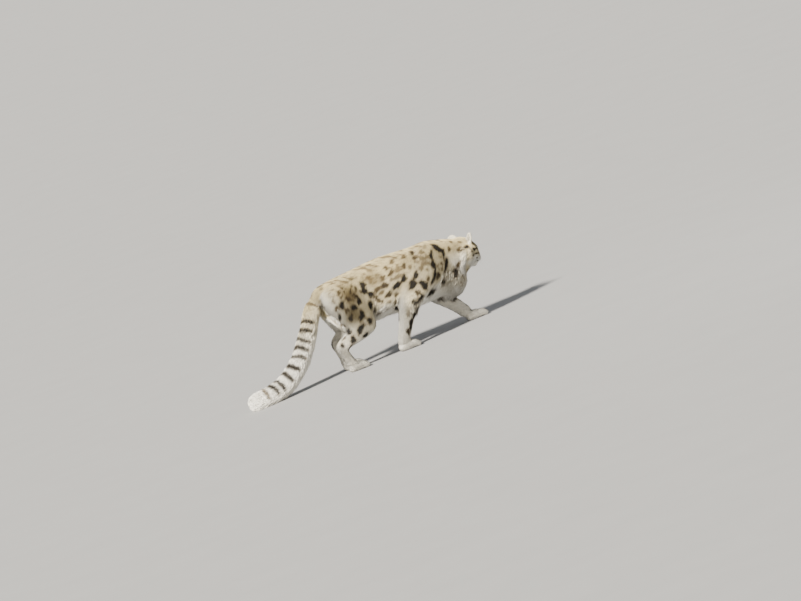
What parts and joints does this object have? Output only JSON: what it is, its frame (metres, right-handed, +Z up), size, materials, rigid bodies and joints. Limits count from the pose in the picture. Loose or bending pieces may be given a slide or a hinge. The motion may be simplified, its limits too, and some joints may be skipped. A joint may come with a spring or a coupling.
{
  "type": "snow leopard",
  "caption": "Life-size still model of a snow leopard walking, one forefoot reaching forward, head turned aside, its long thick tail hanging back to the floor.",
  "frame": {"origin": "on the floor, in the middle of the box of the whole animal", "axes": "+X forward, the way the animal walks; +Y to its left; +Z up"},
  "size_m": [1.7038, 0.3132, 0.5471],
  "materials": {
    "coat": "dense matte fur, pale grey-cream with dark rosettes and spots, white below",
    "eye": "wet gloss, pale grey-green iris with a round dark pupil"
  },
  "bodies": {
    "root": {"ear_left": "coat", "ear_right": "coat", "eye_left": "eye", "eye_right": "eye", "head": "coat", "leg_fore_left": "coat", "leg_fore_right": "coat", "leg_hind_left": "coat", "leg_hind_right": "coat", "neck": "coat", "paw_fore_left": "coat", "paw_fore_right": "coat", "paw_hind_left": "coat", "paw_hind_right": "coat", "tail_end": "coat", "tail_middle": "coat", "tail_root": "coat", "torso": "coat"}
  },
  "joints": []
}
